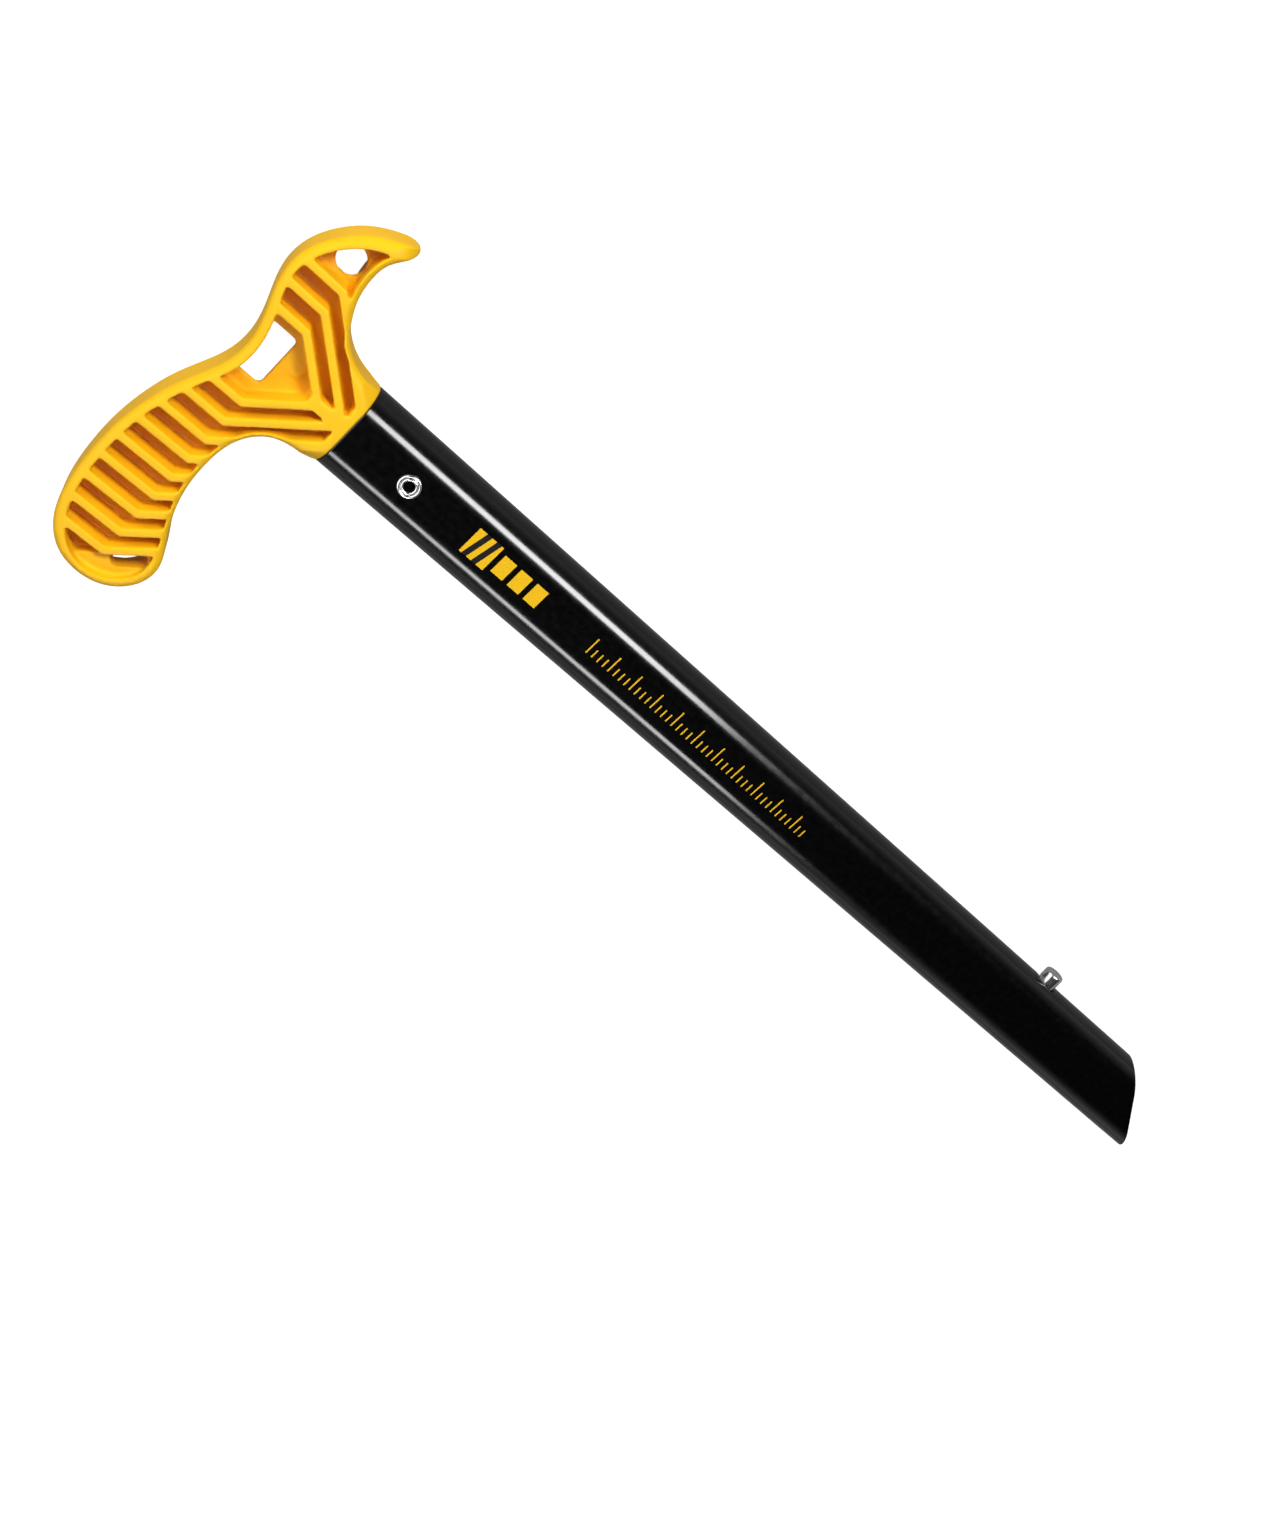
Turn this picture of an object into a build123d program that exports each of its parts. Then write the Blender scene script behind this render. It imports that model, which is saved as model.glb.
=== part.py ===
from build123d import *
import math
import os

os.makedirs("parts", exist_ok=True)

# ---------------------------------------------------------------- driving dimensions, mm
# Working axes: X runs down the tube from the grip's collar, Y across the wide way of the
# tube towards the pick, Z through the thickness.  Everything is moved to the bottom
# centre of the whole object just before export.

# flat-oval aluminium tube
TUBE_WIDTH = 30.0
TUBE_THICK = 18.0
TUBE_WALL = 1.6
TUBE_LENGTH = 420.0            # along its longer, -Y edge
END_CUT_DEG = 45.0             # slant of the free end, +Y edge shorter

# rivet through the tube and the grip's tang
RIVET_FROM_COLLAR = 24.8
RIVET_BARREL_DIA = 5.0
RIVET_BORE_DIA = 3.7
RIVET_FLANGE_DIA = 7.8
RIVET_FLANGE_THICK = 0.8
RIVET_EDGE_ROUND = 0.56        # outside of each head
RIVET_MOUTH_ROUND = 0.52       # into the bore
RIVET_HOLE_PLAY = 0.2

# snap button near the free end
BUTTON_FROM_COLLAR = 335.5
BUTTON_DIA = 7.7
BUTTON_PROUD = 5.0
BUTTON_CROWN_RADIUS = 1.1
BUTTON_RELIEF_DIA = 7.3        # where it runs in the tube wall
BUTTON_RELIEF_PROUD = 0.6
BUTTON_LEAN_DEG = 8.0          # leans towards the grip, square to its leaf
BUTTON_HOLE_DIA = 8.8
BUTTON_HOLE_BACK = 0.1         # hole's axis from the button's, towards the grip
BUTTON_HOLE_CHAMFER = 0.35
BUTTON_TAIL_DIA = 3.6
BUTTON_TAIL_LENGTH = 1.7
BUTTON_TAIL_HEAD_DIA = 5.4

# folded leaf spring behind the button
LEAF_WIDTH = 8.6
LEAF_THICK = 0.8
LEAF_SEAT_Y = 10.9             # top face of the leaf under the button
LEAF_FOLD_BACK = 52.0          # button axis to the corner of the fold
LEAF_FOLD_RADIUS = 3.0
LEAF_TOP_BEYOND = 6.0
LEAF_FOOT_BACK = 14.0          # button axis to the end of the lower leg
LEAF_FOOT_Y = -11.5

# moulded grip
GRIP_THICK = 18.0
GRIP_EDGE_RADIUS = 3.0
GRIP_NOSE_RADIUS = 1.3
NOSE_POINTS_DEG = 36.9         # way the pick points, from +X towards +Y
NOSE_SETBACK = 1.6             # of the full-round nose from the outline's sharp tip
WEB_THICK = 2.0
COLLAR_BAND = 3.2              # solid band against the tube
NECK_FLARE_DEG = 22.0
NECK_LENGTH = 14.0
TANG_LENGTH = 45.0
TANG_PLAY = 0.15
TANG_LEAD_IN = 1.5

# chevron ribs: straight towards the back of the grip, slanting towards the collar
RIB_PITCH = 8.0
RIB_THICK = 2.7
RIB_FIRST = 14.4               # first rib's distance from the tube axis, both sides
RIB_BEND_X = -28.4
RIB_SLANT_DEG = 40.4
RIBS_PICK_SIDE = 3
RIBS_HAND_SIDE = 9
RIB_OFF_AXIS = 0.4             # slanting legs stop this far short of the tube axis
STEM_WIDTH = 4.3               # bar on the axis where the first ribs meet
STEM_LENGTH = 15.0

# through openings in the web
PICK_HOLE_DIA = 9.2
PICK_HOLE_AT = (-32.0, 37.8)
WINDOW_HALF_HEIGHT = 8.8
WINDOW_FRONT_X = -27.2
WINDOW_CORNER = 1.6
BUTT_SLOT_WIDTH = 5.3          # against the last rib's slanting leg
BUTT_SLOT_LENGTH = 11.2
BUTT_SLOT_CORNER = 2.0
BUTT_SLOT_ALONG = 6.8          # from the rib's bend to the middle of the slot
BUTT_FLOOR_DEPTH = 3.6         # raised floor beside the slot, upper face only
BUTT_FLOOR_SETBACK = 1.2
MOULD_RING_DIA = 5.0
MOULD_RING_WIDTH = 0.6
MOULD_RING_AT = (-22.2, 2.4)
MOULD_RING_RAISE = 0.35

# grip outline, walked from the collar's +Y corner round the pick, back, butt and palm side
PICK_FRONT = [(0, 15), (-7, 15.3), (-13, 17.6), (-17.3, 20.8), (-20.8, 25.4),
              (-23.6, 31.4), (-24.8, 38.2), (-24.1, 44.6), (-21.6, 48.9), (-18.2, 55.0)]
BACK = [(-18.2, 55.0), (-27.6, 51.4), (-34.2, 47.0), (-40.0, 40.4), (-43.8, 32.8), (-44.9, 25.0),
        (-43.3, 17.0), (-40.4, 9.0), (-38.6, 0.5), (-39.6, -9.0), (-43.0, -17.6),
        (-46.5, -26.0), (-49.2, -36.0), (-50.8, -48.0), (-50.7, -60.0), (-49.0, -72.0),
        (-45.2, -81.4), (-38.6, -87.8), (-30.8, -90.0), (-22.6, -88.8), (-16.4, -84.6),
        (-12.8, -78.6), (-12.4, -72.8), (-15.0, -66.4), (-18.6, -59.8), (-21.4, -52.6),
        (-23.1, -44.2), (-23.4, -36.0), (-22.4, -28.0), (-19.4, -21.6), (-14.6, -17.2),
        (-8.0, -15.3), (0, -15)]

# inner edge of the rim, same walk; the pockets lie inside it
INNER = [(-COLLAR_BAND, 9.6), (-10.0, 14.6), (-17.0, 18.2), (-22.4, 25.0), (-25.9, 31.5),
         (-27.2, 38.2), (-26.8, 43.4), (-25.2, 48.0)]
INNER_BACK = [(-25.2, 48.0), (-31.6, 44.6), (-37.3, 38.8), (-40.9, 32.0), (-42.1, 25.2),
              (-40.3, 18.0), (-37.2, 10.0), (-35.3, 0.5), (-36.2, -8.2), (-39.8, -16.6),
              (-43.3, -25.2), (-46.0, -35.2), (-47.6, -47.4), (-47.4, -59.8),
              (-45.6, -71.0), (-41.6, -79.8), (-37.0, -84.6), (-30.6, -86.9),
              (-23.8, -85.8), (-18.9, -82.4), (-16.0, -77.6), (-15.7, -73.0),
              (-17.2, -67.0), (-20.4, -59.6), (-23.1, -52.4), (-24.9, -44.2),
              (-25.2, -36.0), (-24.1, -27.6), (-20.9, -20.6), (-15.5, -15.7),
              (-9.2, -12.9), (-COLLAR_BAND, -9.6)]


# ---------------------------------------------------------------- small helpers
def flat_oval(shrink=0.0):
    """Tube section in the YZ plane, drawn in by shrink all round."""
    return Plane.YZ * SlotOverall(TUBE_WIDTH - 2 * shrink, TUBE_THICK - 2 * shrink)


def button_axis():
    """Unit vector out of the tube along the button."""
    lean = math.radians(BUTTON_LEAN_DEG)
    return Vector(-math.sin(lean), math.cos(lean), 0)


def button_plane(along=0.0):
    """Plane square to the button, its origin 'along' above the leaf's top face."""
    out = button_axis()
    seat = Vector(BUTTON_FROM_COLLAR, LEAF_SEAT_Y, 0)
    return Plane(origin=seat + out * along, x_dir=(0, 0, 1), z_dir=out)


# ---------------------------------------------------------------- tube
def make_tube():
    tube = extrude(flat_oval() - flat_oval(TUBE_WALL), amount=TUBE_LENGTH)
    half = TUBE_WIDTH / 2
    slant = math.radians(END_CUT_DEG)
    mid_x = TUBE_LENGTH - half * math.tan(slant)
    cut = Plane(origin=(mid_x, 0, 0), z_dir=(math.cos(slant), math.sin(slant), 0))
    tube = tube.split(cut, keep=Keep.BOTTOM)
    rivet_hole = Cylinder((RIVET_BARREL_DIA + RIVET_HOLE_PLAY) / 2, TUBE_THICK * 2)
    tube -= Pos(RIVET_FROM_COLLAR, 0, 0) * rivet_hole
    drill = Plane(origin=(BUTTON_FROM_COLLAR - BUTTON_HOLE_BACK, TUBE_WIDTH / 4, 0), z_dir=(0, 1, 0))
    tube -= extrude(drill * Circle(BUTTON_HOLE_DIA / 2), amount=TUBE_WIDTH / 2)
    rim = [e for e in tube.edges()
           if abs(e.center().X - BUTTON_FROM_COLLAR) < 2 and e.center().Y > half - 1.3
           and e.length < BUTTON_HOLE_DIA * 4 and e.geom_type != GeomType.LINE]
    rim = [e for e in rim if e.bounding_box().max.Y > half - 0.01]
    return chamfer(rim, BUTTON_HOLE_CHAMFER)


# ---------------------------------------------------------------- grip
def grip_outline():
    front = Spline([Vector(*p) for p in PICK_FRONT])
    back = Spline([Vector(*p) for p in BACK])
    collar = Line(BACK[-1], PICK_FRONT[0])
    return make_face(Wire([front, back, collar]))


def pocket_region():
    front = Spline([Vector(*p) for p in INNER])
    back = Spline([Vector(*p) for p in INNER_BACK])
    collar = Line(INNER_BACK[-1], INNER[0])
    return make_face(Wire([front, back, collar]))


def rib(index, side):
    """Plan of one chevron rib; side is +1 towards the pick, -1 towards the hand."""
    slant = math.radians(RIB_SLANT_DEG)
    half = RIB_THICK / 2
    mitre = half * math.tan(slant / 2)
    reach = 100.0
    y = RIB_FIRST + index * RIB_PITCH
    run_x = math.cos(slant) * reach
    run_y = -math.sin(slant) * reach
    upper = (RIB_BEND_X + mitre, y + half)
    lower = (RIB_BEND_X - mitre, y - half)
    points = [(RIB_BEND_X - reach, y + half), upper, (upper[0] + run_x, upper[1] + run_y),
              (lower[0] + run_x, lower[1] + run_y), lower, (RIB_BEND_X - reach, y - half)]
    points = [(px, side * py) for px, py in points]
    face = make_face(Polyline(*points, close=True))
    keep = Pos(-reach / 2, side * (reach / 2 + RIB_OFF_AXIS)) * Rectangle(reach, reach)
    return face & keep


def rib_pattern():
    ribs = [rib(i, 1) for i in range(RIBS_PICK_SIDE)]
    ribs += [rib(i, -1) for i in range(RIBS_HAND_SIDE)]
    ribs.append(Pos(-STEM_LENGTH / 2, 0) * Rectangle(STEM_LENGTH, STEM_WIDTH))
    return ribs


def butt_shelf():
    """Plan of the part of the last pocket whose floor is high on the upper face."""
    last = RIB_FIRST + (RIBS_HAND_SIDE - 1) * RIB_PITCH + RIB_THICK / 2
    slant = math.tan(math.radians(RIB_SLANT_DEG))
    reach = 20
    overlap = 0.5                  # into the rib, so that no skin is left between them
    points = [(RIB_BEND_X, overlap - last),
              (RIB_BEND_X, -last - BUTT_FLOOR_SETBACK),
              (RIB_BEND_X - reach, -last - BUTT_FLOOR_SETBACK - reach * slant),
              (0, -last - reach * 2), (0, -last + reach),
              (RIB_BEND_X + reach, overlap - last + reach * slant)]
    return make_face(Polyline(*points, close=True))


def butt_slot():
    """Through slot lying against the slanting leg of the last rib."""
    last = RIB_FIRST + (RIBS_HAND_SIDE - 1) * RIB_PITCH
    slant = math.radians(RIB_SLANT_DEG)
    off = (RIB_THICK + BUTT_SLOT_WIDTH) / 2
    x = RIB_BEND_X + BUTT_SLOT_ALONG * math.cos(slant) + off * math.sin(slant)
    y = -last + BUTT_SLOT_ALONG * math.sin(slant) - off * math.cos(slant)
    slot = RectangleRounded(BUTT_SLOT_LENGTH, BUTT_SLOT_WIDTH, BUTT_SLOT_CORNER)
    return Pos(x, y) * Rot(0, 0, RIB_SLANT_DEG) * slot & pocket_region()


def nose_trim():
    """What a full-round nose, seen from its side, takes off the tip of the pick."""
    radius = GRIP_THICK / 2
    length = radius + NOSE_SETBACK + 1
    block = Pos(1 - length / 2, 0, 0) * Box(length, 3 * radius, GRIP_THICK + 2)
    bull = Pos(-radius - NOSE_SETBACK, 0, 0) * Rot(90, 0, 0) * Cylinder(radius, 4 * radius)
    return Pos(*BACK[0], 0) * Rot(0, 0, NOSE_POINTS_DEG) * (block - bull)


def make_grip():
    top = GRIP_THICK / 2
    body = extrude(Plane.XY.offset(-top) * grip_outline(), amount=GRIP_THICK)
    nose = [e for e in body.edges() if e.geom_type == GeomType.LINE
            and abs(e.center().Z) < 1 and e.center().Y > BACK[0][1] - 1]
    body = fillet(nose, GRIP_NOSE_RADIUS)
    rim = [e for e in body.edges() if abs(abs(e.center().Z) - top) < 0.01
           and e.center().X < -2]
    body = fillet(rim, GRIP_EDGE_RADIUS)
    body -= nose_trim()

    # the neck comes down to the tube's own section at the collar
    flare = extrude(flat_oval(), amount=-NECK_LENGTH, taper=-NECK_FLARE_DEG)
    beyond = 120
    rest = Pos(-(NECK_LENGTH + beyond) / 2, 0, 0) * Box(beyond, 2 * beyond, 2 * GRIP_THICK)
    body = body & (flare + rest)

    # pockets from both faces, leaving rim, ribs and web
    region = pocket_region()
    for part_of_pattern in rib_pattern():
        region -= part_of_pattern
    shelf = butt_shelf()
    floor = WEB_THICK / 2
    cuts = [(region, -floor, -top), (region - shelf, floor, top),
            (region & shelf, top - BUTT_FLOOR_DEPTH, top)]
    for plan, level, depth in cuts:
        for face in plan.faces():
            if face.area > 1.0:
                body -= extrude(Plane(origin=(0, 0, level)) * face, amount=depth)

    # openings right through the web
    body -= Pos(*PICK_HOLE_AT, 0) * Cylinder(PICK_HOLE_DIA / 2, 2 * GRIP_THICK)
    window = Pos(WINDOW_FRONT_X - 10, 0) * RectangleRounded(
        20, 2 * WINDOW_HALF_HEIGHT, WINDOW_CORNER)
    body -= extrude(window & pocket_region(), amount=top, both=True)
    body -= extrude(butt_slot(), amount=top, both=True)

    # plain raised ring in the middle pocket
    ring = Circle(MOULD_RING_DIA / 2) - Circle(MOULD_RING_DIA / 2 - MOULD_RING_WIDTH)
    for side in (1, -1):
        at_floor = Plane(origin=(0, 0, side * floor))
        body += extrude(at_floor * Pos(*MOULD_RING_AT) * ring,
                        amount=side * MOULD_RING_RAISE)

    # tang inside the tube
    tang = extrude(flat_oval(TUBE_WALL + TANG_PLAY), amount=TANG_LENGTH)
    tang = chamfer(tang.faces().sort_by(Axis.X)[-1].edges(), TANG_LEAD_IN)
    tang -= Pos(RIVET_FROM_COLLAR, 0, 0) * Cylinder(
        (RIVET_BARREL_DIA + 2 * RIVET_HOLE_PLAY) / 2, 2 * GRIP_THICK)
    return body + tang


# ---------------------------------------------------------------- rivet
def make_rivet():
    reach = TUBE_THICK / 2 + RIVET_FLANGE_THICK
    rivet = Cylinder(RIVET_BARREL_DIA / 2, 2 * reach)
    for side in (1, -1):
        z = side * (reach - RIVET_FLANGE_THICK / 2)
        rivet += Pos(0, 0, z) * Cylinder(RIVET_FLANGE_DIA / 2, RIVET_FLANGE_THICK)
    ends = [e for e in rivet.edges() if abs(abs(e.center().Z) - reach) < 0.01]
    rivet = fillet(ends, RIVET_EDGE_ROUND)
    rivet -= Cylinder(RIVET_BORE_DIA / 2, 3 * reach)
    mouth = [e for e in rivet.edges() if abs(abs(e.center().Z) - reach) < 0.01
             and e.radius < RIVET_BARREL_DIA / 2]
    rivet = fillet(mouth, RIVET_MOUTH_ROUND)
    return Pos(RIVET_FROM_COLLAR, 0, 0) * rivet


# ---------------------------------------------------------------- snap button
def make_button():
    """Turned pin: full size where it stands out, relieved where it runs in the tube wall."""
    seat_to_face = (TUBE_WIDTH / 2 - LEAF_SEAT_Y) / math.cos(math.radians(BUTTON_LEAN_DEG))
    relief = seat_to_face + BUTTON_RELIEF_PROUD
    stem = BUTTON_PROUD - BUTTON_RELIEF_PROUD
    head = extrude(button_plane(relief) * Circle(BUTTON_DIA / 2), amount=stem)
    crown = head.edges().sort_by(Axis.Y)[-1]
    head = fillet(crown, BUTTON_CROWN_RADIUS)
    neck = extrude(button_plane() * Circle(BUTTON_RELIEF_DIA / 2), amount=relief)
    below = -LEAF_THICK
    tail = extrude(button_plane(below) * Circle(BUTTON_TAIL_DIA / 2), amount=LEAF_THICK)
    peen = extrude(button_plane(below) * Circle(BUTTON_TAIL_HEAD_DIA / 2),
                   amount=-(BUTTON_TAIL_LENGTH - LEAF_THICK))
    return head + neck + tail + peen


def make_leaf():
    out = button_axis()
    along = Vector(out.Y, -out.X, 0)
    half = LEAF_THICK / 2
    seat = Vector(BUTTON_FROM_COLLAR, LEAF_SEAT_Y, 0) - out * half
    tip = seat + along * LEAF_TOP_BEYOND
    fold = seat - along * LEAF_FOLD_BACK
    foot = Vector(BUTTON_FROM_COLLAR - LEAF_FOOT_BACK, LEAF_FOOT_Y, 0)
    path = FilletPolyline(tip, fold, foot, radius=LEAF_FOLD_RADIUS)
    strip = trace(path, line_width=LEAF_THICK)
    leaf = extrude(strip, amount=LEAF_WIDTH / 2, both=True)
    leaf -= extrude(button_plane(-LEAF_THICK * 2) * Circle(BUTTON_TAIL_DIA / 2),
                    amount=LEAF_THICK * 3)
    return leaf


# ---------------------------------------------------------------- place and export
nodes = {
    "shaft_tube": make_tube(),
    "grip": make_grip(),
    "grip_rivet": make_rivet(),
    "lock_button": make_button(),
    "button_leaf_spring": make_leaf(),
}

boxes = [shape.bounding_box() for shape in nodes.values()]
x_mid = (min(b.min.X for b in boxes) + max(b.max.X for b in boxes)) / 2
y_mid = (min(b.min.Y for b in boxes) + max(b.max.Y for b in boxes)) / 2
z_low = min(b.min.Z for b in boxes)
to_frame = Pos(-x_mid, -y_mid, -z_low)
print("frame shift", round(-x_mid, 4), round(-y_mid, 4), round(-z_low, 4))

for name, shape in nodes.items():
    placed = to_frame * shape
    placed.label = name
    print(name, "volume", round(placed.volume, 1), "solids", len(placed.solids()),
          "valid", placed.is_valid)
    export_step(placed, f"parts/{name}.step")
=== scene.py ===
"""Looks for a take-apart snow tool shaft: ribbed grip, flat-oval tube, rivet and snap button."""
import math

import bmesh
import bpy
from mathutils import Matrix, Vector


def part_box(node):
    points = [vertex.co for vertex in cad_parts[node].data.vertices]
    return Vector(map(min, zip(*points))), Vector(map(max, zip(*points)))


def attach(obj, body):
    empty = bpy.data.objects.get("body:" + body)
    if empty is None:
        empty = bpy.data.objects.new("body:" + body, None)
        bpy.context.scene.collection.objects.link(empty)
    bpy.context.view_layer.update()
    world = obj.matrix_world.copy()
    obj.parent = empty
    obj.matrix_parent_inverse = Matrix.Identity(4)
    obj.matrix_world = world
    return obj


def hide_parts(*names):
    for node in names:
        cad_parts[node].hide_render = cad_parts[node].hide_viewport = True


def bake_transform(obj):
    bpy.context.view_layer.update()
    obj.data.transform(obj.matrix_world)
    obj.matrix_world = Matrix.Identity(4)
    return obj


MM = 0.001

# Sizes and places are in millimetres from the collar's centre: X down the tube, Y across, Z up,
# except where a line says otherwise.  The tube's section and cut end:
TUBE_RADIUS = 9.0              # of the section's round ends
TUBE_HALF_FLAT = 6.0           # from the axis to where they start
TUBE_WALL = 1.6
TUBE_END_X = 405.0             # where the slanted end crosses the axis
TUBE_EDGE_BREAK = 0.25
TUBE_RING_STEP = 2.0           # between rings of the skin, so that the holes cut cleanly

# Rivet; places in its head are (from the axis, above the tube's face)
RIVET_X = 24.8
RIVET_HOLE_RADIUS = 2.6
RIVET_BORE_RADIUS = 1.85
RIVET_BARREL_RADIUS = 2.5
RIVET_HEAD_RADIUS = 3.88
RIVET_SEAT_GAP = 0.02          # between the head and the tube's face
RIVET_LIP_AT = (2.30, 0.32)    # centre of the rolled lip's section
RIVET_LIP_RADIUS = 0.45
RIVET_VALLEY = (2.80, 0.36)    # between the lip and the dome
RIVET_DOME_AT = (3.35, 0.25)   # centre of the outer dome's section
RIVET_DOME_RADIUS = 0.52

# Snap button and the leaf spring behind it
BUTTON_X = 335.5
BUTTON_HOLE_RADIUS = 4.4
BUTTON_HOLE_CHAMFER = 0.45
BUTTON_RADIUS = 3.85
BUTTON_CROWN_RADIUS = 1.1
BUTTON_PROUD = 5.0
BUTTON_LEAN = math.radians(8.0)
BUTTON_RELIEF_RADIUS = 3.65    # where it runs in the tube's wall
BUTTON_RELIEF_PROUD = 0.6
BUTTON_TAIL_RADIUS = 1.8
BUTTON_TAIL_LENGTH = 1.7
BUTTON_TAIL_HEAD_RADIUS = 2.6
BUTTON_TAIL_HEAD_ROUND = 0.6
NEAR_AXIS = 0.02               # closes a turned face without a point on its axis
LEAF_SEAT_Y = 10.9
LEAF_THICK = 0.8
LEAF_HALF_WIDTH = 4.3
LEAF_FOLD_BACK = 52.0
LEAF_FOLD_RADIUS = 3.0
LEAF_TOP_BEYOND = 6.0
LEAF_FOOT_BACK = 14.0
LEAF_FOOT_Y = -11.5
LEAF_EDGE_BREAK = 0.15

# Printed marks on the tube's upper flat
PRINT_SINK = 0.02              # how far the ink reaches into the face
PRINT_PROUD = 0.03
PRINT_LAYER = 0.02             # ink printed over other ink stands this much higher
SQUARE_X = 50.0
SQUARE_SIDE = 10.0
STRIPE_STARTS = (51.0, 55.0)
STRIPE_WIDTH = 2.0
BAR_STARTS = (62.0, 69.0, 76.0)
BAR_WIDTH = 5.0
BAR_SIDES = (-3.4, 3.6)
SCALE_X = 104.0
SCALE_TICKS = 43
SCALE_PITCH = 2.5
TICK_WIDTH = 0.5
TICK_FOOT = -3.2
TICK_TOPS = (3.2, 0.0)         # of a long and of a short tick
SHORT_TICKS = 3                # between two long ones

# Grip finish and painted pocket shade
GRIP_VOXEL = 0.42
GRIP_SMOOTHING = 6
PAINTED_SHADE_DEPTHS = (1.5, 3.5)        # from the middle plane, between which the painted shade fades out
POCKET_CENTRE_X = -24.0        # of the middle pocket, which gets little painted shade and stays nearly as light as the ribs
PAINTED_SHADE_REACH = (10.0, 14.0)

# Stage
FLOOR_HALF_SIDE = 3.0          # metres
FLOOR_DROP = 0.0002            # metres below the object
FLOOR_BOUNCE = 0.10            # of the floor's brightness, as light on the object
WORLD_LIGHT = 0.012            # of the backdrop's, likewise
HORIZON_GLOW = 0.55            # of the backdrop's, low down and in reflections only
GLOW_TOP = 0.6                 # upward part of a direction at which the glow has faded out

# Camera
CAMERA_AZIMUTH = 147.87
CAMERA_ELEVATION = 60.11
CAMERA_ROLL = 166.12
CAMERA_DISTANCE = 0.6234       # metres from the point it looks at
CAMERA_LOOKS_AT = (149.09, -21.76, 0)
CAMERA_LENS = 43.485

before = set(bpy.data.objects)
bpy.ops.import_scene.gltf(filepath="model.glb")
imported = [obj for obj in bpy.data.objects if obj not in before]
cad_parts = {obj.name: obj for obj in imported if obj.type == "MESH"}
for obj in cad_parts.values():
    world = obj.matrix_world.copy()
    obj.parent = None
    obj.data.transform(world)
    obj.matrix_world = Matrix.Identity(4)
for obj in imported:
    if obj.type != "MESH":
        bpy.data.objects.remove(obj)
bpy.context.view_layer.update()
tube_low, tube_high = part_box("shaft_tube")
COLLAR = Vector((tube_low.x, (tube_low.y + tube_high.y) / 2, (tube_low.z + tube_high.z) / 2))


def at(x, y, z):
    """Millimetres from the collar's centre to a point in the row frame."""
    return COLLAR + Vector((x, y, z)) * MM


# ---------------------------------------------------------------- mesh helpers
def mesh_object(name, points, faces, material):
    mesh = bpy.data.meshes.new(name)
    mesh.from_pydata([at(*p) for p in points], [], faces)
    obj = bpy.data.objects.new(name, mesh)
    bpy.context.scene.collection.objects.link(obj)
    mesh.materials.append(material)
    shape = bmesh.new()
    shape.from_mesh(mesh)
    bmesh.ops.recalc_face_normals(shape, faces=shape.faces)
    shape.to_mesh(mesh)
    shape.free()
    return obj


def smooth_below(obj, degrees):
    """Smooth shading, with edges sharper than this kept crisp."""
    shape = bmesh.new()
    shape.from_mesh(obj.data)
    for face in shape.faces:
        face.smooth = True
    for edge in shape.edges:
        edge.smooth = edge.is_manifold and edge.calc_face_angle() < math.radians(degrees)
    shape.to_mesh(obj.data)
    shape.free()


def rings_to_faces(ring_count, ring_size):
    """Quads of a closed loop of rings, the last one joined back to the first."""
    faces = []
    for i in range(ring_count):
        here = i * ring_size
        there = (i + 1) % ring_count * ring_size
        for j in range(ring_size):
            k = (j + 1) % ring_size
            faces.append((here + j, here + k, there + k, there + j))
    return faces


def lathe(name, profile, centre, axis, material, steps=96):
    """Turns a closed (radius, along) profile, in millimetres, about an axis through centre."""
    side = axis.orthogonal().normalized()
    other = axis.cross(side)
    points = []
    for step in range(steps):
        turn = 2 * math.pi * step / steps
        out = side * math.cos(turn) + other * math.sin(turn)
        points += [tuple(centre + out * r + axis * along) for r, along in profile]
    return mesh_object(name, points, rings_to_faces(steps, len(profile)), material)


def solid_lathe(name, profile, centre, axis, steps=64):
    """A turned solid with flat ends, for cutting."""
    side = axis.orthogonal().normalized()
    other = axis.cross(side)
    points = []
    for r, along in profile:
        for step in range(steps):
            turn = 2 * math.pi * step / steps
            out = side * math.cos(turn) + other * math.sin(turn)
            points.append(tuple(centre + out * r + axis * along))
    last = (len(profile) - 1) * steps
    faces = [tuple(range(steps)), tuple(range(last, last + steps))]
    for i in range(len(profile) - 1):
        for j in range(steps):
            k = (j + 1) % steps
            faces.append((i * steps + j, i * steps + k, (i + 1) * steps + k, (i + 1) * steps + j))
    plain = bpy.data.materials.new(name)
    return mesh_object(name, points, faces, plain)


def arc(centre_r, centre_along, radius, start, end, steps):
    """Points of an arc in a lathe profile, angles in degrees from the radius direction."""
    points = []
    for i in range(steps + 1):
        angle = math.radians(start + (end - start) * i / steps)
        points.append((centre_r + radius * math.cos(angle), centre_along + radius * math.sin(angle)))
    return points


def cut(obj, cutter):
    """Takes the cutter away from obj and deletes it."""
    boolean = obj.modifiers.new("cut", "BOOLEAN")
    boolean.operation = "DIFFERENCE"
    boolean.solver = "EXACT"
    boolean.object = cutter
    depsgraph = bpy.context.evaluated_depsgraph_get()
    result = bpy.data.meshes.new_from_object(obj.evaluated_get(depsgraph))
    obj.modifiers.clear()
    obj.data = result
    bpy.data.objects.remove(cutter)


# ---------------------------------------------------------------- materials
def new_material(name):
    material = bpy.data.materials.new(name)
    material.use_nodes = True
    nodes = material.node_tree.nodes
    return material, nodes, material.node_tree.links, nodes["Principled BSDF"]


def coordinates(nodes, links, scale):
    """Object coordinates stretched by a scale for each axis."""
    source = nodes.new("ShaderNodeTexCoord")
    mapping = nodes.new("ShaderNodeMapping")
    mapping.inputs["Scale"].default_value = scale
    links.new(source.outputs["Object"], mapping.inputs["Vector"])
    return mapping.outputs["Vector"]


def noise(nodes, links, vector, scale, detail=4.0):
    texture = nodes.new("ShaderNodeTexNoise")
    texture.inputs["Scale"].default_value = scale
    texture.inputs["Detail"].default_value = detail
    links.new(vector, texture.inputs["Vector"])
    return texture.outputs["Fac"]


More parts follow.
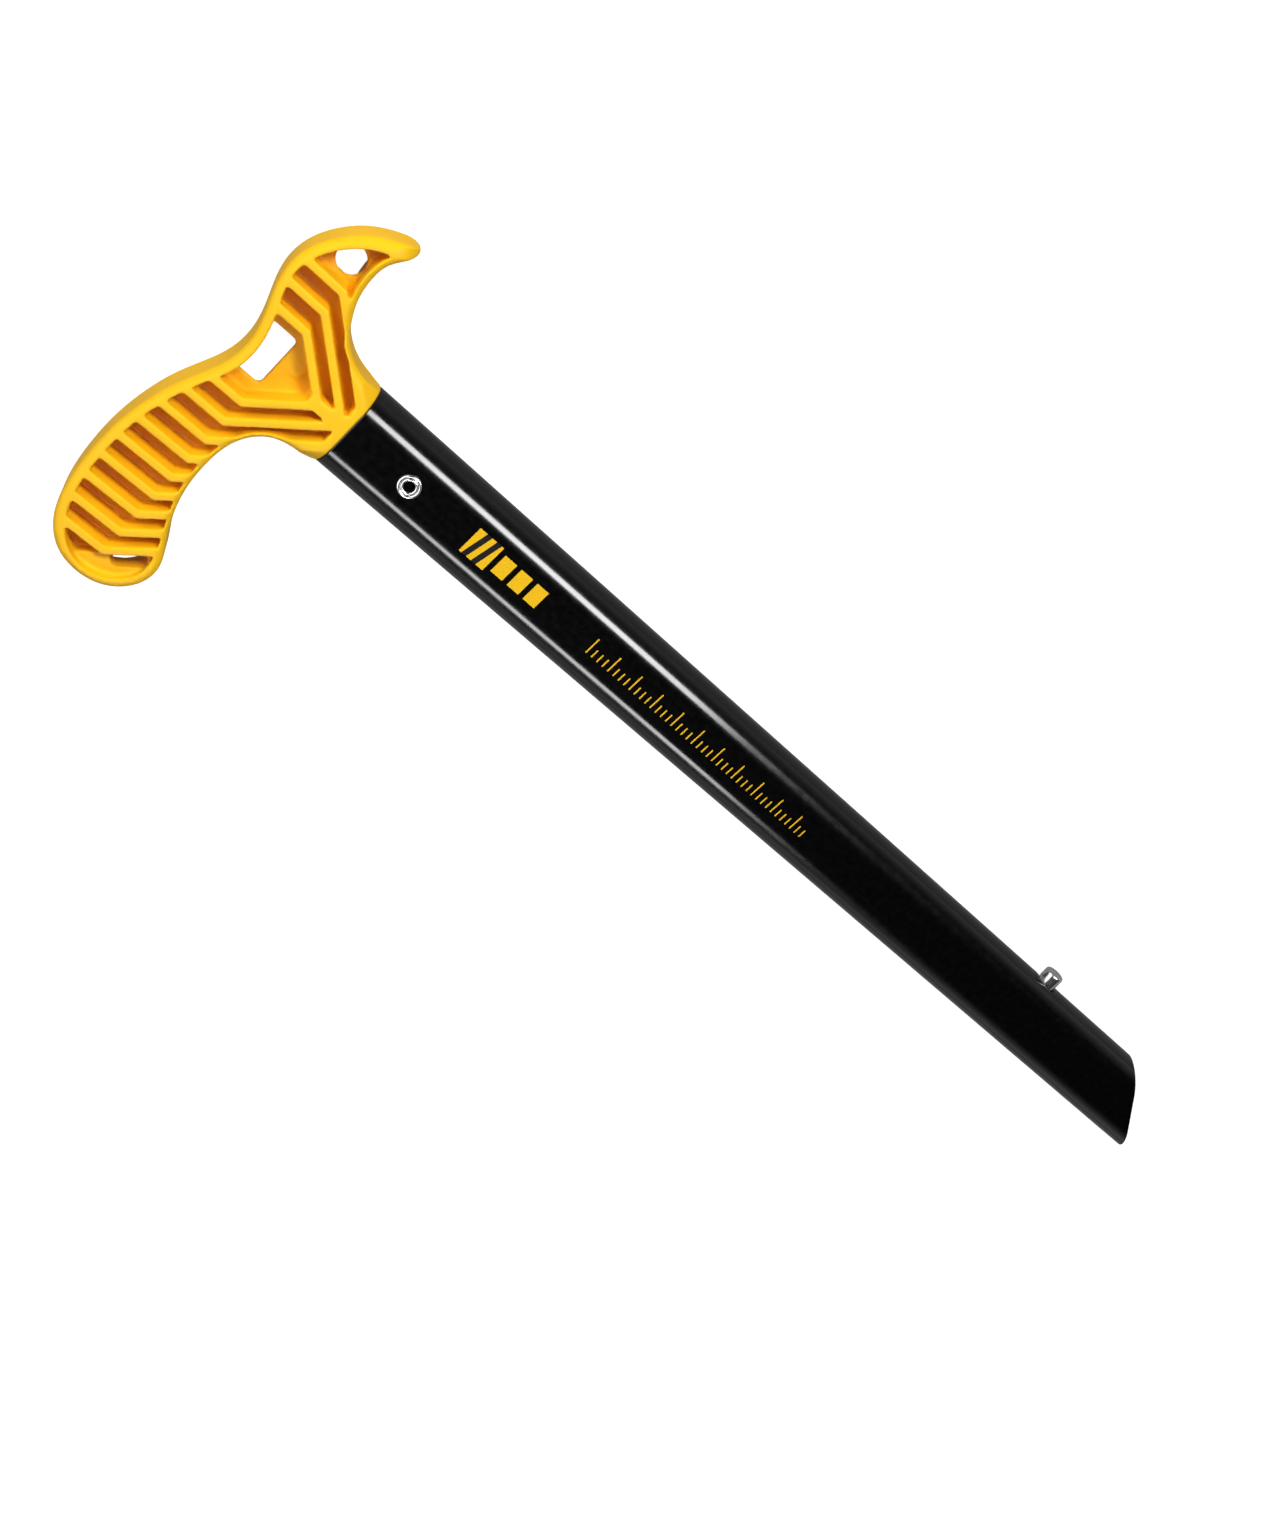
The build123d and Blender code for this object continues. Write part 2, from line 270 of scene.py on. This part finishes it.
def remap(nodes, links, value, low, high, from_low=0.3, from_high=0.7):
    """Maps a 0 to 1 pattern onto a working range."""
    node = nodes.new("ShaderNodeMapRange")
    node.inputs["From Min"].default_value = from_low
    node.inputs["From Max"].default_value = from_high
    node.inputs["To Min"].default_value = low
    node.inputs["To Max"].default_value = high
    links.new(value, node.inputs["Value"])
    return node.outputs["Result"]


def mixed(nodes, links, factor, first, second):
    """Blend of two colours by a factor socket."""
    node = nodes.new("ShaderNodeMix")
    node.data_type = "RGBA"
    node.inputs[6].default_value = (*first, 1)
    node.inputs[7].default_value = (*second, 1)
    links.new(factor, node.inputs[0])
    return node.outputs[2]


def calculated(nodes, links, operation, first, second=None):
    """A maths node on one socket, or on two; a plain number may stand for the second."""
    node = nodes.new("ShaderNodeMath")
    node.operation = operation
    links.new(first, node.inputs[0])
    if isinstance(second, float):
        node.inputs[1].default_value = second
    elif second is not None:
        links.new(second, node.inputs[1])
    return node.outputs[0]


def add_bump(nodes, links, shader, height, distance, strength=1.0):
    bump = nodes.new("ShaderNodeBump")
    bump.inputs["Distance"].default_value = distance * MM
    bump.inputs["Strength"].default_value = strength
    links.new(height, bump.inputs["Height"])
    links.new(bump.outputs["Normal"], shader.inputs["Normal"])


def painted_pocket_shade(nodes, links):
    """Painted shade mask: 1 on the web between the ribs and 0 on ribs, walls and rim; little in the
    middle pocket.
    """
    source = nodes.new("ShaderNodeTexCoord")
    place = nodes.new("ShaderNodeSeparateXYZ")
    links.new(source.outputs["Object"], place.inputs[0])
    from_middle = calculated(nodes, links, "SUBTRACT", place.outputs["Z"], COLLAR.z)
    height = calculated(nodes, links, "ABSOLUTE", from_middle)
    low, high = (depth * MM for depth in PAINTED_SHADE_DEPTHS)
    deep = remap(nodes, links, height, 1, 0, low, high)
    facing = nodes.new("ShaderNodeSeparateXYZ")
    links.new(source.outputs["Normal"], facing.inputs[0])
    level = calculated(nodes, links, "ABSOLUTE", facing.outputs["Z"])
    on_web = calculated(nodes, links, "MULTIPLY", deep, remap(nodes, links, level, 0, 1, 0.2, 0.8))
    apart = nodes.new("ShaderNodeVectorMath")
    apart.operation = "DISTANCE"
    apart.inputs[1].default_value = at(POCKET_CENTRE_X, 0, 0)
    links.new(source.outputs["Object"], apart.inputs[0])
    near, far = (reach * MM for reach in PAINTED_SHADE_REACH)
    outside = remap(nodes, links, apart.outputs["Value"], 0.15, 1, near, far)
    return calculated(nodes, links, "MULTIPLY", on_web, outside)


def grip_plastic():
    """Yellow moulded plastic: satin, mottled, painted shade in deeper orange down in the pockets, scuffed
    on top.
    """
    material, nodes, links, shader = new_material("grip_plastic")
    even = coordinates(nodes, links, (1, 1, 1))
    mottle = remap(nodes, links, noise(nodes, links, even, 70), 0, 1)
    crest = mixed(nodes, links, mottle, (0.95, 0.535, 0.008), (0.90, 0.495, 0.006))
    # painted shade: the web down in the pockets is blended to deep orange, standing in for the shade
    # between the ribs
    pocket_shade_blend = nodes.new("ShaderNodeMix")
    pocket_shade_blend.data_type = "RGBA"
    links.new(painted_pocket_shade(nodes, links), pocket_shade_blend.inputs[0])
    links.new(crest, pocket_shade_blend.inputs[6])
    pocket_shade_blend.inputs[7].default_value = (0.84, 0.40, 0.002, 1)
    links.new(pocket_shade_blend.outputs[2], shader.inputs["Base Color"])
    scuff = noise(nodes, links, even, 900, 6.0)
    links.new(remap(nodes, links, scuff, 0.36, 0.50), shader.inputs["Roughness"])
    shader.inputs["Subsurface Weight"].default_value = 0.04
    shader.inputs["Subsurface Radius"].default_value = (1.0, 0.45, 0.08)
    shader.inputs["Subsurface Scale"].default_value = 2.0 * MM
    shader.inputs["Specular IOR Level"].default_value = 0.14
    add_bump(nodes, links, shader, noise(nodes, links, even, 2600, 3.0), 0.02)
    return material


def tube_anodising():
    """Glossy black anodising over a drawn tube: fine lengthwise lines, faint scratches and dust."""
    material, nodes, links, shader = new_material("tube_anodising")
    drawn = coordinates(nodes, links, (6, 900, 900))
    even = coordinates(nodes, links, (1, 1, 1))
    lines = noise(nodes, links, drawn, 1.0, 5.0)
    dust = noise(nodes, links, even, 420, 8.0)
    dusty = remap(nodes, links, dust, 0, 1, 0.4, 0.8)
    black = mixed(nodes, links, dusty, (0.0006, 0.0006, 0.0007), (0.0016, 0.0016, 0.0017))
    links.new(black, shader.inputs["Base Color"])
    rough = calculated(nodes, links, "ADD", remap(nodes, links, lines, 0.0, 0.03),
                       remap(nodes, links, dust, 0.14, 0.18))
    links.new(rough, shader.inputs["Roughness"])
    shader.inputs["Specular IOR Level"].default_value = 0.5
    add_bump(nodes, links, shader, lines, 0.004)
    return material


def bare_metal(name, colour, roughness, stretch):
    """Bare metal with turning or rolling marks along the less stretched axes."""
    material, nodes, links, shader = new_material(name)
    marks = noise(nodes, links, coordinates(nodes, links, stretch), 1.0, 5.0)
    stain = noise(nodes, links, coordinates(nodes, links, (1, 1, 1)), 500, 3.0)
    darker = tuple(c * 0.72 for c in colour)
    shade = mixed(nodes, links, remap(nodes, links, stain, 0, 1), colour, darker)
    links.new(shade, shader.inputs["Base Color"])
    shader.inputs["Metallic"].default_value = 1.0
    links.new(remap(nodes, links, marks, roughness * 0.75, roughness * 1.3), shader.inputs["Roughness"])
    add_bump(nodes, links, shader, marks, 0.006)
    return material


def print_ink(name, colour):
    """Screen-printed ink: nearly flat, slightly uneven, a little worn through at its edges."""
    material, nodes, links, shader = new_material(name)
    even = coordinates(nodes, links, (1, 1, 1))
    worn = remap(nodes, links, noise(nodes, links, even, 1500, 4.0), 0, 1, 0.35, 0.75)
    thin = tuple(c * 0.86 for c in colour)
    links.new(mixed(nodes, links, worn, colour, thin), shader.inputs["Base Color"])
    links.new(remap(nodes, links, worn, 0.38, 0.55, 0, 1), shader.inputs["Roughness"])
    shader.inputs["Specular IOR Level"].default_value = 0.15
    add_bump(nodes, links, shader, worn, 0.003)
    return material


def floor_white():
    """Pale lit floor: clean white to look at, dimmer as a bounce on the object."""
    material, nodes, links, shader = new_material("floor_white")
    shader.inputs["Base Color"].default_value = (0.2, 0.2, 0.2, 1)
    shader.inputs["Roughness"].default_value = 0.9
    shader.inputs["Specular IOR Level"].default_value = 0.0
    shader.inputs["Emission Color"].default_value = (1, 1, 1, 1)
    path = nodes.new("ShaderNodeLightPath")
    links.new(remap(nodes, links, path.outputs["Is Camera Ray"], FLOOR_BOUNCE, 1.0, 0, 1),
              shader.inputs["Emission Strength"])
    return material


# ---------------------------------------------------------------- tube
def oval_section(radius):
    """(y, z) points round the section, counter-clockwise, the same count for every radius."""
    arc_steps = 44
    flat_steps = 10
    points = []
    for centre, first in ((TUBE_HALF_FLAT, -90), (-TUBE_HALF_FLAT, 90)):
        for i in range(arc_steps):
            angle = math.radians(first + 180 * i / arc_steps)
            points.append((centre + radius * math.cos(angle), radius * math.sin(angle)))
        sign = 1 if first < 0 else -1
        for i in range(flat_steps):
            points.append((sign * (TUBE_HALF_FLAT - 2 * TUBE_HALF_FLAT * i / flat_steps), sign * radius))
    return points


def bare_inside_hole(tube, material, centre):
    """Bare metal on the faces of the button's hole, which stand across the tube's skin."""
    tube.data.materials.append(material)
    reach = (BUTTON_HOLE_RADIUS + 2 * BUTTON_HOLE_CHAMFER) * MM
    edge_centre = at(0, TUBE_HALF_FLAT, 0)
    for polygon in tube.data.polygons:
        skin = polygon.center - edge_centre
        skin.x = 0
        across = abs(polygon.normal.dot(skin.normalized())) < 0.9
        if across and (polygon.center - centre).length < reach:
            polygon.material_index = len(tube.data.materials) - 1


def make_tube(material, rim_material):
    outer = oval_section(TUBE_RADIUS)
    eased = oval_section(TUBE_RADIUS - TUBE_EDGE_BREAK)
    bore_eased = oval_section(TUBE_RADIUS - TUBE_WALL + TUBE_EDGE_BREAK)
    bore = oval_section(TUBE_RADIUS - TUBE_WALL)
    last_plain = TUBE_END_X - TUBE_RADIUS - TUBE_HALF_FLAT - TUBE_RING_STEP
    stations = [TUBE_EDGE_BREAK]
    while stations[-1] < last_plain - TUBE_RING_STEP:
        stations.append(stations[-1] + TUBE_RING_STEP)
    stations.append(last_plain)
    points = [(0.0, y, z) for y, z in eased]
    for x in stations:
        points += [(x, y, z) for y, z in outer]
    points += [(TUBE_END_X - y - TUBE_EDGE_BREAK, y, z) for y, z in outer]
    points += [(TUBE_END_X - y, y, z) for y, z in eased]
    points += [(TUBE_END_X - y, y, z) for y, z in bore_eased]
    points += [(TUBE_END_X - y - TUBE_EDGE_BREAK, y, z) for y, z in bore]
    for x in reversed(stations):
        points += [(x, y, z) for y, z in bore]
    points += [(0.0, y, z) for y, z in bore_eased]
    count = len(points) // len(outer)
    tube = mesh_object("tube_skin", points, rings_to_faces(count, len(outer)), material)
    button_line = Vector((-math.sin(BUTTON_LEAN), math.cos(BUTTON_LEAN), 0))
    seat = Vector((BUTTON_X, LEAF_SEAT_Y, 0))
    surface = (TUBE_RADIUS + TUBE_HALF_FLAT - LEAF_SEAT_Y) / math.cos(BUTTON_LEAN)
    past = 3.0                     # how far the cutter reaches beyond the wall on either side
    chamfer_foot = surface - BUTTON_HOLE_CHAMFER
    well = [(BUTTON_HOLE_RADIUS, -past), (BUTTON_HOLE_RADIUS, chamfer_foot),
            (BUTTON_HOLE_RADIUS + past, chamfer_foot + past)]
    cut(tube, solid_lathe("button_cutter", well, seat, button_line))
    bare_inside_hole(tube, rim_material, at(*(seat + button_line * surface)))
    reach = TUBE_RADIUS + past
    rivet_hole = [(RIVET_HOLE_RADIUS, -reach), (RIVET_HOLE_RADIUS, reach)]
    cut(tube, solid_lathe("rivet_cutter", rivet_hole, Vector((RIVET_X, 0, 0)), Vector((0, 0, 1))))
    smooth_below(tube, 28)
    return tube


# ---------------------------------------------------------------- rivet, button and leaf
def make_rivet(material, bore_material):
    """Tubular rivet: barrel, and at each face a rolled lip round the bore inside a domed flange."""
    face = TUBE_RADIUS
    lip, lip_up = RIVET_LIP_AT
    dome, dome_up = RIVET_DOME_AT
    valley, valley_up = RIVET_VALLEY
    under = face + RIVET_SEAT_GAP
    half = [(RIVET_BORE_RADIUS, 0.0), (RIVET_BORE_RADIUS, face + lip_up - RIVET_SEAT_GAP)]
    half += arc(lip, face + lip_up, RIVET_LIP_RADIUS, 180, 20, 10)
    half += [(valley, face + valley_up)]
    half += arc(dome, face + dome_up, RIVET_DOME_RADIUS, 150, 0, 12)
    half += [(RIVET_HEAD_RADIUS, under), (RIVET_BARREL_RADIUS, under), (RIVET_BARREL_RADIUS, 0.0)]
    mirrored = [(r, -along) for r, along in reversed(half[1:-1])]
    rivet = lathe("rivet_turned", half + mirrored, Vector((RIVET_X, 0, 0)), Vector((0, 0, 1)), material)
    rivet.data.materials.append(bore_material)
    # painted shade: faces inside the bore take the near-black bore material, standing in for the shade
    # down the hole
    axis = at(RIVET_X, 0, 0)
    inside = (RIVET_BORE_RADIUS + 0.05) * MM
    for polygon in rivet.data.polygons:
        out = (polygon.center - axis).xy.length
        if out < inside and abs(polygon.center.z - axis.z) < TUBE_RADIUS * MM:
            polygon.material_index = 1
    smooth_below(rivet, 50)
    return rivet


def make_button(material):
    """Turned pin: rounded crown with a slight turned dip, full stem, relief, and a riveted tail."""
    seat_to_face = (TUBE_RADIUS + TUBE_HALF_FLAT - LEAF_SEAT_Y) / math.cos(BUTTON_LEAN)
    top = seat_to_face + BUTTON_PROUD
    relief = seat_to_face + BUTTON_RELIEF_PROUD
    crown = BUTTON_CROWN_RADIUS
    ease = 0.1
    profile = [(NEAR_AXIS, top - ease), (1.2, top - 0.02)]
    profile += arc(BUTTON_RADIUS - crown, top - crown, crown - 0.01, 90, 0, 12)
    profile += [(BUTTON_RADIUS, relief + ease), (BUTTON_RELIEF_RADIUS, relief)]
    profile += [(BUTTON_RELIEF_RADIUS, ease), (BUTTON_RELIEF_RADIUS - ease, 0.0)]
    profile += [(BUTTON_TAIL_RADIUS, 0.0), (BUTTON_TAIL_RADIUS, -LEAF_THICK)]
    profile += [(BUTTON_TAIL_HEAD_RADIUS, -LEAF_THICK)]
    profile += arc(BUTTON_TAIL_HEAD_RADIUS - BUTTON_TAIL_HEAD_ROUND,
                   BUTTON_TAIL_HEAD_ROUND - BUTTON_TAIL_LENGTH, BUTTON_TAIL_HEAD_ROUND, 0, -90, 6)
    profile += [(NEAR_AXIS, -BUTTON_TAIL_LENGTH)]
    axis = Vector((-math.sin(BUTTON_LEAN), math.cos(BUTTON_LEAN), 0))
    button = lathe("button_turned", profile, Vector((BUTTON_X, LEAF_SEAT_Y, 0)), axis, material)
    smooth_below(button, 40)
    return button


def leaf_line():
    """Points down the middle of the folded strip, from above the button round the fold to the foot."""
    lean = math.tan(BUTTON_LEAN)
    half = LEAF_THICK / 2
    fold_x = BUTTON_X - LEAF_FOLD_BACK
    fold_y = LEAF_SEAT_Y - half - LEAF_FOLD_BACK * lean
    top = Vector((BUTTON_X + LEAF_TOP_BEYOND, LEAF_SEAT_Y - half + LEAF_TOP_BEYOND * lean, 0))
    corner = Vector((fold_x, fold_y, 0))
    foot = Vector((BUTTON_X - LEAF_FOOT_BACK, LEAF_FOOT_Y, 0))
    into = (corner - top).normalized()
    away = (foot - corner).normalized()
    turn = math.pi - into.angle(-away)
    radius = LEAF_FOLD_RADIUS - half
    reach = radius * math.tan(turn / 2)
    start = corner - into * reach
    inward = Vector((into.y, -into.x, 0))
    if inward.dot(away) < 0:
        inward = -inward
    centre = start + inward * radius
    points = [top.lerp(start, i / 30) for i in range(30)]
    for i in range(13):
        angle = turn * i / 12
        points.append(centre - inward * radius * math.cos(angle) + into * radius * math.sin(angle))
    end = corner + away * reach
    points += [end.lerp(foot, i / 20) for i in range(1, 21)]
    return points


def make_leaf(material):
    line = leaf_line()
    half_thick = LEAF_THICK / 2
    half_wide = LEAF_HALF_WIDTH
    edge = LEAF_EDGE_BREAK
    corners = [(half_wide - edge, half_thick), (half_wide, half_thick - edge),
               (half_wide, edge - half_thick), (half_wide - edge, -half_thick),
               (edge - half_wide, -half_thick), (-half_wide, edge - half_thick),
               (-half_wide, half_thick - edge), (edge - half_wide, half_thick)]
    points = []
    for i, p in enumerate(line):
        along = (line[min(i + 1, len(line) - 1)] - line[max(i - 1, 0)]).normalized()
        normal = Vector((along.y, -along.x, 0))
        points += [tuple(p + normal * t + Vector((0, 0, w))) for w, t in corners]
    size = len(corners)
    faces = rings_to_faces(len(line), size)[:(len(line) - 1) * size]
    faces.append(tuple(range(size)))
    faces.append(tuple(range((len(line) - 1) * size, len(line) * size)))
    leaf = mesh_object("leaf_strip", points, faces, material)
    smooth_below(leaf, 35)
    return leaf


# ---------------------------------------------------------------- printed marks on the tube's face
def ink_patches(name, outlines, material):
    """Thin closed patches of ink on the upper flat, one for each (x, y) outline."""
    low = TUBE_RADIUS - PRINT_SINK
    high = TUBE_RADIUS + PRINT_PROUD
    points = []
    faces = []
    for outline in outlines:
        n = len(outline)
        first = len(points)
        points += [(x, y, low) for x, y in outline] + [(x, y, high) for x, y in outline]
        faces.append(tuple(range(first, first + n)))
        faces.append(tuple(range(first + n, first + 2 * n)))
        for i in range(n):
            k = (i + 1) % n
            faces.append((first + i, first + k, first + n + k, first + n + i))
    return mesh_object(name, points, faces, material)


def slab(x, width, foot, top, slant=0.0):
    """Outline of an upright bar, its top moved along by the slant."""
    return [(x, foot), (x + width, foot), (x + width + slant, top), (x + slant, top)]


def make_prints(ink, dark_ink):
    """Generic marks only: a square with two slanted stripes, plain bars and a graduated strip."""
    half = SQUARE_SIDE / 2
    square = slab(SQUARE_X, SQUARE_SIDE, -half, half)
    stripes = [slab(x, STRIPE_WIDTH, -half, half, STRIPE_WIDTH) for x in STRIPE_STARTS]
    bars = [slab(x, BAR_WIDTH, *BAR_SIDES) for x in BAR_STARTS]
    long_top, short_top = TICK_TOPS
    ticks = []
    for i in range(SCALE_TICKS):
        top = long_top if i % (SHORT_TICKS + 1) == 0 else short_top
        ticks.append(slab(SCALE_X + i * SCALE_PITCH, TICK_WIDTH, TICK_FOOT, top))
    return [ink_patches("print_square", [square], ink), raised_ink("print_stripes", stripes, dark_ink, 1),
            ink_patches("print_bars", bars, ink), ink_patches("print_scale", ticks, ink)]


def raised_ink(name, outlines, material, layer):
    """Ink printed over other ink."""
    obj = ink_patches(name, outlines, material)
    obj.data.transform(Matrix.Translation((0, 0, PRINT_LAYER * layer * MM)))
    return obj


# ---------------------------------------------------------------- grip
def finish_grip(grip, material):
    """Rounds the moulded edges of the CAD solid without moving it."""
    grip.data.materials.clear()
    grip.data.materials.append(material)
    remesh = grip.modifiers.new("even_skin", "REMESH")
    remesh.mode = "VOXEL"
    remesh.voxel_size = GRIP_VOXEL * MM
    remesh.use_smooth_shade = True
    ease = grip.modifiers.new("moulded_edges", "SMOOTH")
    ease.factor = 0.5
    ease.iterations = GRIP_SMOOTHING


# ---------------------------------------------------------------- stage
def area_light(name, aim, direction, distance, size, power, glossy=True, diffuse=True):
    """A rectangle facing aim, its first side running along the tube."""
    towards = Vector(direction).normalized()
    along = (Vector((1, 0, 0)) - towards * towards.x).normalized()
    place = Matrix((along, towards.cross(along), towards)).transposed().to_4x4()
    place.translation = aim + towards * distance
    data = bpy.data.lights.new(name, "AREA")
    data.shape = "RECTANGLE"
    data.size, data.size_y = size
    data.energy = power
    light = bpy.data.objects.new(name, data)
    bpy.context.scene.collection.objects.link(light)
    light.matrix_world = place
    light.visible_glossy = glossy
    light.visible_diffuse = diffuse


def make_backdrop():
    """White to look at, nearly no light, and a glow low down that only reflections show."""
    world = bpy.data.worlds.new("studio")
    world.use_nodes = True
    nodes = world.node_tree.nodes
    links = world.node_tree.links
    sky = nodes["Background"]
    sky.inputs["Color"].default_value = (1, 1, 1, 1)
    source = nodes.new("ShaderNodeTexCoord")
    split = nodes.new("ShaderNodeSeparateXYZ")
    links.new(source.outputs["Generated"], split.inputs[0])
    glow = remap(nodes, links, split.outputs["Z"], HORIZON_GLOW, WORLD_LIGHT, 0, GLOW_TOP)
    path = nodes.new("ShaderNodeLightPath")
    reflected = remap(nodes, links, path.outputs["Is Glossy Ray"], WORLD_LIGHT, 1, 0, 1)
    links.new(glow, reflected.node.inputs["To Max"])
    seen = remap(nodes, links, path.outputs["Is Camera Ray"], 0, 1, 0, 1)
    links.new(reflected, seen.node.inputs["To Min"])
    links.new(seen, sky.inputs["Strength"])
    bpy.context.scene.world = world


def make_floor():
    half = FLOOR_HALF_SIDE
    mesh = bpy.data.meshes.new("floor")
    mesh.from_pydata([(-half, -half, 0), (half, -half, 0), (half, half, 0), (-half, half, 0)], [],
                     [(0, 1, 2, 3)])
    mesh.materials.append(floor_white())
    floor = bpy.data.objects.new("floor", mesh)
    bpy.context.scene.collection.objects.link(floor)
    floor.location.z = -FLOOR_DROP


def make_lights():
    # two long soft boxes that only draw the bright lines down the tube's rounded edges
    area_light("line_pick_side", at(58, 9, 8.5), (0.320, 0.408, 0.845), 0.9, (0.40, 0.30), 8.5,
               diffuse=False)
    area_light("line_palm_side", at(70, -8, 8.5), (0.335, -0.67, 0.65), 0.9, (0.46, 0.22), 4.1,
               diffuse=False)
    # a soft card that brightens the snap button's side, placed where the tube's flat doesn't show it
    area_light("card_button", at(BUTTON_X, 18, 0), (-0.90, -0.17, 0.42), 0.5, (0.40, 0.5), 1.5,
               diffuse=False)
    # broad low lights that model the ribs and leave the pocket floors in shade
    grip = at(-25, -10, 0)
    area_light("key_pick_side", grip, (-0.05, 0.80, 0.95), 1.1, (0.5, 0.25), 11.5, glossy=False)
    area_light("key_back", grip, (-0.85, 0.30, 0.40), 1.0, (0.4, 0.5), 5.6, glossy=False)
    area_light("fill_palm_side", grip, (0.3, -0.75, 0.6), 1.0, (0.5, 0.5), 3.5, glossy=False)


def make_camera():
    """Looks down at the shaft from above the pick, rolled so that the grip is at the upper left."""
    azimuth = math.radians(CAMERA_AZIMUTH)
    elevation = math.radians(CAMERA_ELEVATION)
    back = Vector((math.cos(elevation) * math.cos(azimuth), math.cos(elevation) * math.sin(azimuth),
                   math.sin(elevation)))
    level = Vector((0, 0, 1)).cross(back).normalized()
    right = Matrix.Rotation(math.radians(CAMERA_ROLL), 3, back) @ level
    up = back.cross(right)
    place = Matrix((right, up, back)).transposed().to_4x4()
    place.translation = at(*CAMERA_LOOKS_AT) + back * CAMERA_DISTANCE
    data = bpy.data.cameras.new("camera")
    data.lens = CAMERA_LENS
    data.sensor_width = 36.0
    data.clip_start = 0.01
    camera = bpy.data.objects.new("camera", data)
    bpy.context.scene.collection.objects.link(camera)
    camera.matrix_world = place
    bpy.context.scene.camera = camera


# ---------------------------------------------------------------- assembly
def dress(obj, body, slot, *nodes):
    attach(obj, body)
    if nodes:
        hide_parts(*nodes)


steel = bare_metal("rivet_plating", (0.72, 0.72, 0.72), 0.20, (200, 200, 1600))
# near-black paint for the shade inside the rivet's bore
painted_bore_shade = bare_metal("rivet_bore", (0.05, 0.05, 0.05), 0.5, (200, 200, 900))
turned = bare_metal("button_steel", (0.86, 0.85, 0.83), 0.20, (300, 2600, 300))
cut_rim = bare_metal("cut_aluminium", (0.88, 0.88, 0.88), 0.30, (900, 300, 900))
rolled = bare_metal("leaf_steel", (0.40, 0.41, 0.43), 0.34, (60, 900, 900))
yellow_ink = print_ink("print_yellow", (0.86, 0.50, 0.004))
dark_ink = print_ink("print_dark", (0.004, 0.004, 0.004))

finish_grip(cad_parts["grip"], grip_plastic())
dress(make_tube(tube_anodising(), cut_rim), "shaft", "tube", "shaft_tube")
dress(make_rivet(steel, painted_bore_shade), "shaft", "rivet", "grip_rivet")
dress(make_button(turned), "button", "button", "lock_button")
for patch in make_prints(yellow_ink, dark_ink):
    dress(patch, "shaft", "tube")

leaf = make_leaf(rolled)
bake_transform(leaf)
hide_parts("button_leaf_spring")

make_floor()
make_lights()
make_backdrop()
bpy.context.scene.view_settings.view_transform = "Standard"
make_camera()
